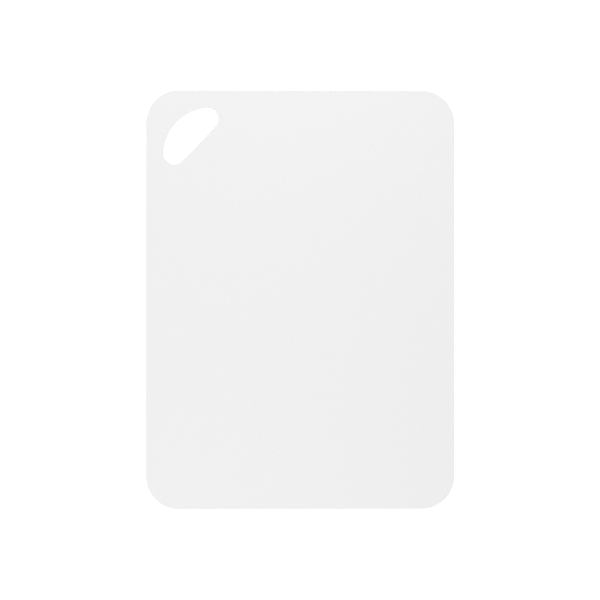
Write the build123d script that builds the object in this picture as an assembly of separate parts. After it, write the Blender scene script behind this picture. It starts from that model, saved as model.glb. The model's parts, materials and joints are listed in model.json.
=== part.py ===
"""Flexible cutting mat: one thin plastic sheet with a half-moon hanging hole in its top left corner.

The sheet is one cut blank. Its middle is divided at straight bend lines into narrow strips, each a
node of its own, so that both long sides can curl upwards into a chute. The mat lies flat on its
underside, with the origin under its middle, +Z up and +Y towards the end that holds the hole.
"""
import math
import os

from build123d import *

# Sheet
mat_width = 280.0
mat_length = 380.0
thickness = 1.0
corner_radius = 30.0
rim_rounding = 0.3

# Half-moon hole, which bows towards the corner and has its flat side towards the middle
hole_width = 28.8  # from the flat side to the top of the arc
hole_arc_radius = 43.0
hole_end_radius = 10.3
hole_corner_distance = 39.4  # from the sheet's sharp corner, before it is rounded, to the arc
hole_angle = 46.5  # degrees from the short edge of the sheet to the flat side

# Bend zone across the middle
hole_margin = 8.0  # plain sheet between the hole and the nearest bend line
strips_per_side = 5

# How far a cutting tool runs past the sheet
overrun = 5.0

# A rounded rim takes at most this share of the thickness from each face
rim_limit_share = 0.45


def hole_end_centre():
    """The centre of the right end round, measured from the centre of the outer arc."""
    height = hole_arc_radius - hole_width + hole_end_radius
    reach = hole_arc_radius - hole_end_radius
    return math.sqrt(reach**2 - height**2), height


def hole_place():
    """Moves the hole's own frame, centred on its outer arc, to its place in the sheet's corner."""
    along_bisector = hole_corner_distance + hole_arc_radius
    inward = along_bisector * math.cos(math.radians(45))
    return Pos(-mat_width / 2 + inward, mat_length / 2 - inward) * Rot(0, 0, hole_angle)


def hole_face():
    """The half-moon: a flat side, two end rounds and an outer arc, all tangent where they meet."""
    end_x, end_y = hole_end_centre()
    flat_y = hole_arc_radius - hole_width
    to_touch = hole_arc_radius / (hole_arc_radius - hole_end_radius)
    touch_x = end_x * to_touch
    touch_y = end_y * to_touch
    flat_side = Line((-end_x, flat_y), (end_x, flat_y))
    right_round = TangentArc((end_x, flat_y), (touch_x, touch_y), tangent=(1, 0))
    outer_arc = ThreePointArc((touch_x, touch_y), (0, hole_arc_radius), (-touch_x, touch_y))
    left_round = TangentArc((-end_x, flat_y), (-touch_x, touch_y), tangent=(-1, 0))
    return make_face([flat_side, right_round, outer_arc, left_round])


def make_sheet():
    """The whole blank with its hole, lying on z = 0, with both rims of every edge rounded."""
    blank = extrude(RectangleRounded(mat_width, mat_length, corner_radius), thickness)
    cutter = extrude(hole_place() * hole_face(), thickness + overrun)
    sheet = blank - cutter
    rims = sheet.edges().group_by(Axis.Z)[0] + sheet.edges().group_by(Axis.Z)[-1]
    return fillet(rims, min(rim_rounding, rim_limit_share * thickness))


def panel_width():
    """The flat panel at each long side reaches past the hole by the hole's margin."""
    end_x, end_y = hole_end_centre()
    end_round = hole_place() * Pos(end_x, end_y)
    hole_reach = end_round.position.X + hole_end_radius + mat_width / 2
    return hole_reach + hole_margin


def bend_lines():
    """The place across the width of each bend line, from left to right."""
    strip_count = 2 * strips_per_side + 1
    first_line = -mat_width / 2 + panel_width()
    strip_width = -2 * first_line / strip_count
    return [first_line + strip_width * index for index in range(strip_count + 1)]


def zone_names():
    """The names of the sheet's zones, from left to right. Strips are counted from the middle."""
    numbers = range(1, strips_per_side + 1)
    left_strips = [f"left_bend_strip_{number}" for number in reversed(numbers)]
    right_strips = [f"right_bend_strip_{number}" for number in numbers]
    return ["hole_panel", *left_strips, "centre_strip", *right_strips, "plain_panel"]


def make_zones():
    """The sheet divided at its bend lines: one solid for each named zone."""
    sheet = make_sheet()
    outer_edge = mat_width / 2 + overrun
    edges = [-outer_edge, *bend_lines(), outer_edge]
    zones = {}
    for name, left, right in zip(zone_names(), edges, edges[1:]):
        window = Box(right - left, mat_length + 2 * overrun, thickness + 2 * overrun)
        zones[name] = sheet & Pos((left + right) / 2, 0, thickness / 2) * window
    return zones


os.makedirs("parts", exist_ok=True)
for zone_name, zone in make_zones().items():
    zone.label = zone_name
    export_step(zone, f"parts/{zone_name}.step")
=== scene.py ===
"""Flexible cutting mat: one thin sheet of matte white plastic with a half-moon hanging hole.

The sheet is modelled whole, with rounded rims, and then taken apart at the middle lines of its bend
strips. Each piece between two such lines spans one bend line.
"""

import json
import math

import bmesh
import bpy
from mathutils import Euler, Matrix, Vector

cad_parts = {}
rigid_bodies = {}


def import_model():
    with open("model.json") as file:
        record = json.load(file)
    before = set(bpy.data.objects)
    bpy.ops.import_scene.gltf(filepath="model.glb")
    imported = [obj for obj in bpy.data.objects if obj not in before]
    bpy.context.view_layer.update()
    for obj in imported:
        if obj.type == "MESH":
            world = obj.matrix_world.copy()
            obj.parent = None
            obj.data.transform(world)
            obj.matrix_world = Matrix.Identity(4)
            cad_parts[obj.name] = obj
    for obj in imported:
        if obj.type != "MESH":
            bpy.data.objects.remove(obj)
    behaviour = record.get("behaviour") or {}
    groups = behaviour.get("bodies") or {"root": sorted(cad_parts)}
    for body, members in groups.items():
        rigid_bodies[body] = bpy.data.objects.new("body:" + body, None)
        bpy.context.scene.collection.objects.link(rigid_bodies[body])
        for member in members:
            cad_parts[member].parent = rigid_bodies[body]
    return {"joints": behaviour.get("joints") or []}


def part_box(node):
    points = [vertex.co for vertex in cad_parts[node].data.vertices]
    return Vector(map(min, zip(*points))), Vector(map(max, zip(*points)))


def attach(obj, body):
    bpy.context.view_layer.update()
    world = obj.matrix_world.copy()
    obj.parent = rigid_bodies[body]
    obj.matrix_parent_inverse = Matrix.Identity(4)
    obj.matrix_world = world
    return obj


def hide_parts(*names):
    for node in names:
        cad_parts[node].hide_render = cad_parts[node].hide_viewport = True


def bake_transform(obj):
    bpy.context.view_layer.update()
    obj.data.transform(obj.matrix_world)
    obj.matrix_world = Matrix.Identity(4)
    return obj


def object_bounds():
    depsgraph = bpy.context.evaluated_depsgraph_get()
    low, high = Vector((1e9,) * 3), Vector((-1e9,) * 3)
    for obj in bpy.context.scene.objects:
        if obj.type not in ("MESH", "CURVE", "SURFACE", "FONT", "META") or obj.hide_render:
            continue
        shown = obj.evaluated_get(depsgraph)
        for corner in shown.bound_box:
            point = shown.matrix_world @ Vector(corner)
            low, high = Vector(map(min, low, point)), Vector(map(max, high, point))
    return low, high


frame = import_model()
cad_low, cad_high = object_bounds()

mm = 0.001

# Sheet
mat_size = cad_high - cad_low
half_thickness = mat_size.z / 2
corner_radius = 30 * mm
rim_rounding = 0.3 * mm
rim_margin = 0.5 * mm  # flat border that keeps the rounding's shading off the faces

# Half-moon hole, which bows towards the corner and has its flat side towards the middle
hole_width = 28.8 * mm  # from the flat side to the top of the arc
hole_arc_radius = 43 * mm
hole_end_radius = 10.3 * mm
hole_corner_distance = 39.4 * mm  # from the sheet's sharp corner, before it is rounded, to the arc
hole_angle = math.radians(46.5)  # from the short edge of the sheet to the flat side

# How finely the round lines are divided
corner_steps = 32
hole_arc_steps = 32
hole_end_steps = 32
rim_steps = 6

# The cuts at both ends of each bend lie this share of a strip's width to each side of its bend line
bend_reach_share = 0.25

# Points nearer to each other than this are one point
merge_distance = 0.001 * mm

# Every point of the sheet keeps its place on the flat sheet under this name
place_name = "flat_place"

# Plastic
sheet_tone = 0.87
tone_drift = 0.006
# painted shade: how much darker the crevices between the pebbles are painted than their tops
painted_crevice_shade = 0.03
refraction = 1.49
satin_roughness = 0.5
roughness_drift = 0.06
edge_roughness = 0.15  # what a cut edge adds

# Grain of the plastic: round pebbles with specks on them, and slow clouds of tone and gloss
grain_depth = 0.1 * mm
pebble_size = 0.7 * mm
pebble_softness = 0.7
speck_size = 0.25 * mm
speck_share = 0.3
cloud_size = 28 * mm
middle_level = 0.5  # of the pebbles and the clouds, which run from about 0 to 1

# Fine upright lines on the cut edges
edge_line_depth = 0.15 * mm
edge_line_size = 0.12 * mm
edge_line_stretch_share = 0.1  # heights count this much, which draws the lines out upright

# How many times finer noise is laid over each noise
fine_layers = 2.0
cloud_layers = 3.0

# Floor and background
floor_size = 12.0
floor_tone = 0.9
floor_glow = 1.3
floor_glow_share = 0.45
floor_fade_start = 0.35
floor_fade_end = 1.0
background_white = 1.0

# Light
surround_light = 0.538
softboxes = {
    "wide_softbox": {"width": 1.2, "power": 11.3, "place": Vector((-0.29, -1.0, 1.4))},
    "top_softbox": {"width": 0.6, "power": 3.3, "place": Vector((0.03, 0.74, 0.83))},
}

# Camera
camera_lens = 85
camera_sensor = 36
camera_place = Vector((-16.3 * mm, -3.5 * mm, 1288.8 * mm))
camera_turn_degrees = (0.147, -0.711, 0.018)


def add_object(name, data):
    """A new object in the scene, at the origin."""
    made = bpy.data.objects.new(name, data)
    bpy.context.scene.collection.objects.link(made)
    return made


def add_shape(name, shape):
    """Turns a finished shape into the mesh of a new object."""
    mesh = bpy.data.meshes.new(name)
    shape.to_mesh(mesh)
    shape.free()
    return add_object(name, mesh)


def whole(shape):
    """Every point, edge and face of a shape."""
    return shape.verts[:] + shape.edges[:] + shape.faces[:]


def bends():
    """Each joint with the place of its bend line across the width."""
    return [(joint, joint["pos_m"][0]) for joint in frame["joints"]]


def strip_width():
    """The width of one bend strip, which is also the distance between bend lines."""
    low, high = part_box("centre_strip")
    return high.x - low.x


def bend_reach():
    """How far the cuts at the ends of a bend lie to each side of its line."""
    return bend_reach_share * strip_width()


def cut_lines():
    """Where the flat sheet is divided: at the middle of each strip and at both ends of each bend."""
    half_strip = strip_width() / 2
    reach = bend_reach()
    lines = sorted(line for _, line in bends())
    places = [lines[0] - half_strip]
    for line in lines:
        places += [line - reach, line + reach, line + half_strip]
    return places


def hole_end_centre():
    """The centre of the right end round, measured from the centre of the outer arc."""
    height = hole_arc_radius - hole_width + hole_end_radius
    reach = hole_arc_radius - hole_end_radius
    return math.sqrt(reach**2 - height**2), height


def hole_place():
    """Moves the hole's own frame, centred on its outer arc, to its place in the sheet's corner."""
    inward = (hole_corner_distance + hole_arc_radius) * math.cos(math.radians(45))
    centre = Vector((cad_low.x + inward, cad_high.y - inward, 0))
    return Matrix.Translation(centre) @ Matrix.Rotation(hole_angle, 4, "Z")


def draw_hole(sheet):
    """The half-moon's line: one point sweeps round three tangent arcs, and the flat side closes it."""
    end_x, end_y = hole_end_centre()
    half_arc = math.atan2(end_x, end_y)
    end_turn = math.pi - half_arc
    arcs = [
        ((-end_x, end_y, 0), end_turn, hole_end_steps),
        ((0, 0, 0), 2 * half_arc, hole_arc_steps),
        ((end_x, end_y, 0), end_turn, hole_end_steps),
    ]
    known = set(sheet.edges)
    start = sheet.verts.new((-end_x, end_y - hole_end_radius, 0))
    last = start
    for centre, turn, steps in arcs:
        swept = bmesh.ops.spin(sheet, geom=[last], cent=centre, axis=(0, 0, 1), angle=-turn, steps=steps)
        last = swept["geom_last"][0]
    sheet.edges.new((last, start))
    line = [edge for edge in sheet.edges if edge not in known]
    points = {point for edge in line for point in edge.verts}
    bmesh.ops.transform(sheet, matrix=hole_place(), verts=list(points))
    return line


def draw_blank(sheet):
    """The flat outline with round corners, as one face."""
    bmesh.ops.create_grid(sheet, x_segments=1, y_segments=1, size=1)
    bmesh.ops.scale(sheet, vec=(mat_size.x / 2, mat_size.y / 2, 1), verts=sheet.verts)
    bmesh.ops.bevel(
        sheet,
        geom=sheet.verts[:],
        affect="VERTICES",
        offset=corner_radius,
        offset_type="ABSOLUTE",
        segments=corner_steps,
        profile=0.5,
        material=-1,
    )


def divide(sheet, line):
    """Adds one straight line from end to end of the flat sheet."""
    bmesh.ops.bisect_plane(
        sheet, geom=whole(sheet), dist=merge_distance, plane_co=(line, 0, 0), plane_no=(1, 0, 0)
    )


def open_hole(sheet):
    """Replaces the left side's face with one that has the hole in it."""
    side = min(sheet.faces, key=lambda face: face.calc_center_median().x)
    outline = side.edges[:]
    bmesh.ops.delete(sheet, geom=[side], context="FACES_ONLY")
    hole = draw_hole(sheet)
    bmesh.ops.triangle_fill(sheet, use_beauty=True, edges=outline + hole, normal=(0, 0, 1))


def rim_section():
    """The edge's section from mid-height up: steps inwards and upwards, round and then flat."""
    section = [(0, half_thickness - rim_rounding)]
    angles = [math.pi / 2 * step / rim_steps for step in range(rim_steps + 1)]
    for start, end in zip(angles, angles[1:]):
        inward = rim_rounding * (math.cos(start) - math.cos(end))
        upward = rim_rounding * (math.sin(end) - math.sin(start))
        section.append((inward, upward))
    section.append((rim_margin, 0))
    return section


def raise_rims(sheet):
    """Gives the flat face the upper half of its edge, round the outline and round the hole."""
    top = sheet.faces[:]
    for inward, upward in rim_section():
        bmesh.ops.inset_region(sheet, faces=top, thickness=inward, use_boundary=True, use_even_offset=True)
        raised = {point for face in top for point in face.verts}
        bmesh.ops.translate(sheet, vec=(0, 0, upward), verts=list(raised))


def make_sheet():
    """The whole closed sheet, lying on the floor. Each point remembers its place on the flat sheet."""
    sheet = bmesh.new()
    draw_blank(sheet)
    for line in cut_lines():
        divide(sheet, line)
    open_hole(sheet)
    bmesh.ops.recalc_face_normals(sheet, faces=sheet.faces)
    raise_rims(sheet)
    bmesh.ops.mirror(sheet, geom=whole(sheet), axis="Z", merge_dist=merge_distance)
    bmesh.ops.translate(sheet, vec=(0, 0, half_thickness), verts=sheet.verts)
    bmesh.ops.remove_doubles(sheet, verts=sheet.verts, dist=merge_distance)
    bmesh.ops.recalc_face_normals(sheet, faces=sheet.faces)
    flat_place = sheet.verts.layers.float_vector.new(place_name)
    for point in sheet.verts:
        point[flat_place] = point.co
    return sheet


def take_piece(sheet, name, left, right):
    """The part of the sheet between two lines, closed at its cuts, which stay sharp."""
    piece = sheet.copy()
    outside = [face for face in piece.faces if not left < face.calc_center_median().x < right]
    bmesh.ops.delete(piece, geom=outside, context="FACES")
    for face in piece.faces:
        face.smooth = True
    cuts = [edge for edge in piece.edges if edge.is_boundary]
    bmesh.ops.edgeloop_fill(piece, edges=cuts)
    for edge in cuts:
        edge.smooth = False
    bmesh.ops.recalc_face_normals(piece, faces=piece.faces)
    return add_shape(name, piece)


class Wire:
    """One output of a node. An expression on wires and numbers adds its Math nodes."""

    def __init__(self, shader, socket):
        self.shader = shader
        self.socket = socket

    def out(self, name):
        """Another output of the same node."""
        return Wire(self.shader, self.socket.node.outputs[name])

    def maths(self, operation, *values):
        """A Math node with these values, each a wire or a number."""
        return self.shader.node("ShaderNodeMath", {"operation": operation}, dict(enumerate(values)))

    def __add__(self, other):
        return self.maths("ADD", self, other)

    def __radd__(self, other):
        return self.maths("ADD", other, self)

    def __sub__(self, other):
        return self.maths("SUBTRACT", self, other)

    def __rsub__(self, other):
        return self.maths("SUBTRACT", other, self)

    def __mul__(self, other):
        return self.maths("MULTIPLY", self, other)

    def __rmul__(self, other):
        return self.maths("MULTIPLY", other, self)

    def __abs__(self):
        return self.maths("ABSOLUTE", self)

    def largest(self, other):
        """The larger of the two values."""
        return self.maths("MAXIMUM", self, other)

    def ramp(self, start, end, low=0.0, high=1.0):
        """Runs smoothly from low to high as the value runs from start to end."""
        settings = {"interpolation_type": "SMOOTHSTEP"}
        inputs = {"Value": self, "From Min": start, "From Max": end, "To Min": low, "To Max": high}
        return self.shader.node("ShaderNodeMapRange", settings, inputs)


class Shader:
    """The nodes of one material, or of the light around the scene."""

    def __init__(self, owner):
        owner.use_nodes = True
        self.tree = owner.node_tree
        self.tree.nodes.clear()

    def node(self, kind, settings=None, inputs=None):
        """Adds a node, sets its settings, fills its sockets, and returns its first output."""
        made = self.tree.nodes.new(kind)
        for name, value in (settings or {}).items():
            setattr(made, name, value)
        for name, value in (inputs or {}).items():
            if isinstance(value, Wire):
                self.tree.links.new(value.socket, made.inputs[name])
            else:
                made.inputs[name].default_value = value
        return Wire(self, made.outputs[0]) if made.outputs else None

    def noise(self, place, size, layers):
        """Soft blobs of this size, from about 0 to 1, with layers of finer ones."""
        inputs = {"Vector": place, "Scale": 1 / size, "Detail": layers}
        return self.node("ShaderNodeTexNoise", {}, inputs).out("Fac")

    def grey(self, level):
        """A neutral colour of a level that varies."""
        return self.node("ShaderNodeCombineColor", {}, {"Red": level, "Green": level, "Blue": level})

    def seen(self):
        """One where the eye, a reflection or a see-through surface looks, and zero for light."""
        path = self.node("ShaderNodeLightPath")
        return (
            path.out("Is Camera Ray")
            .largest(path.out("Is Glossy Ray"))
            .largest(path.out("Is Transmission Ray"))
        )


def sheet_plastic():
    """Matte white polypropylene: a fine pebbled grain on both faces, and a cut edge with upright lines."""
    material = bpy.data.materials.new("sheet_plastic")
    shader = Shader(material)
    place = shader.node(
        "ShaderNodeAttribute", {"attribute_type": "GEOMETRY", "attribute_name": place_name}
    ).out("Vector")
    height = shader.node("ShaderNodeSeparateXYZ", {}, {"Vector": place}).out("Z")
    rim_start = half_thickness - rim_rounding
    from_middle = abs(height - half_thickness)
    cut_edge = from_middle.ramp(rim_start, rim_start + rim_rounding / 2, low=1.0, high=0.0)

    pebbles = shader.node(
        "ShaderNodeTexVoronoi",
        {"feature": "SMOOTH_F1"},
        {"Vector": place, "Scale": 1 / pebble_size, "Smoothness": pebble_softness},
    ).out("Distance")
    specks = shader.noise(place, speck_size, fine_layers)
    clouds = shader.noise(place, cloud_size, cloud_layers)
    upright = shader.node(
        "ShaderNodeMapping", {}, {"Vector": place, "Scale": (1, 1, edge_line_stretch_share)}
    )
    edge_lines = shader.noise(upright, edge_line_size, fine_layers)

    grain = (1 - cut_edge) * (1 - pebbles + specks * speck_share)
    relief = grain * grain_depth + cut_edge * edge_lines * edge_line_depth
    bump = shader.node("ShaderNodeBump", {}, {"Height": relief, "Strength": 1, "Distance": 1})
    cloud = clouds - middle_level
    roughness = satin_roughness + cloud * roughness_drift + cut_edge * edge_roughness
    # The colour has the real slow clouds of tone, and painted shade that darkens the crevices between the
    # pebbles
    tone = sheet_tone + cloud * tone_drift - (pebbles - middle_level) * painted_crevice_shade
    surface = shader.node(
        "ShaderNodeBsdfPrincipled",
        {},
        {"Base Color": shader.grey(tone), "Roughness": roughness, "Normal": bump, "IOR": refraction},
    )
    shader.node("ShaderNodeOutputMaterial", {}, {"Surface": surface})
    return material


def floor_paint():
    """Pale floor: white to the eye with the object's shadow on it, and pure white further out."""
    material = bpy.data.materials.new("floor_paint")
    shader = Shader(material)
    place = shader.node("ShaderNodeTexCoord").out("Object")
    distance = shader.node("ShaderNodeVectorMath", {"operation": "LENGTH"}, {0: place}).out("Value")
    glow_share = distance.ramp(floor_fade_start, floor_fade_end, low=floor_glow_share) * shader.seen()
    paint = shader.node("ShaderNodeBsdfDiffuse", {}, {"Color": (floor_tone, floor_tone, floor_tone, 1)})
    glow = shader.node("ShaderNodeEmission", {}, {"Strength": floor_glow})
    mixed = shader.node("ShaderNodeMixShader", {}, {0: glow_share, 1: paint, 2: glow})
    shader.node("ShaderNodeOutputMaterial", {}, {"Surface": mixed})
    return material


def lay_floor():
    """A wide flat floor at the height of the mat's underside."""
    shape = bmesh.new()
    bmesh.ops.create_grid(shape, x_segments=1, y_segments=1, size=floor_size / 2)
    floor = add_shape("floor", shape)
    floor.data.materials.append(floor_paint())


def hang_softbox(name, width, power, place):
    """A square lamp that faces the middle of the mat."""
    lamp = bpy.data.lights.new(name, "AREA")
    lamp.shape = "SQUARE"
    lamp.size = width
    lamp.energy = power
    softbox = add_object(name, lamp)
    softbox.location = place
    softbox.rotation_euler = (-place).to_track_quat("-Z", "Y").to_euler()
    softbox.visible_camera = False


def set_lights():
    """Even light from all round, a wide softbox in front and a smaller one past the mat's top end."""
    world = bpy.data.worlds.new("surround")
    bpy.context.scene.world = world
    shader = Shader(world)
    strength = surround_light + (background_white - surround_light) * shader.seen()
    glow = shader.node("ShaderNodeBackground", {}, {"Color": (1, 1, 1, 1), "Strength": strength})
    shader.node("ShaderNodeOutputWorld", {}, {"Surface": glow})
    for name, settings in softboxes.items():
        hang_softbox(name, **settings)


def set_camera():
    """The camera looks almost straight down on the mat."""
    lens = bpy.data.cameras.new("camera")
    lens.lens = camera_lens
    lens.sensor_width = camera_sensor
    camera = add_object("camera", lens)
    camera.location = camera_place
    camera.rotation_euler = Euler([math.radians(angle) for angle in camera_turn_degrees])
    bpy.context.scene.camera = camera


def make_mat():
    """Takes the sheet apart at the strips' middle lines and hands each side piece to its body."""
    sheet = make_sheet()
    half_strip = strip_width() / 2
    cuts = cut_lines()
    pieces = []
    for name, left, right in [
        ("hole_panel", cad_low.x - half_strip, cuts[0]),
        ("plain_panel", cuts[-1], cad_high.x + half_strip),
    ]:
        side = take_piece(sheet, f"sheet_{name}", left, right)
        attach(side, name)
        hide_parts(name)
        pieces.append(side)
    for joint, line in bends():
        bend = take_piece(sheet, f"sheet_{joint['name']}", line - half_strip, line + half_strip)
        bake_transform(bend)
        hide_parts(joint["parent"], joint["child"])
        pieces.append(bend)
    sheet.free()
    plastic = sheet_plastic()
    for piece in pieces:
        piece.data.materials.append(plastic)


bpy.context.scene.view_settings.view_transform = "Standard"
set_camera()
set_lights()
lay_floor()
make_mat()
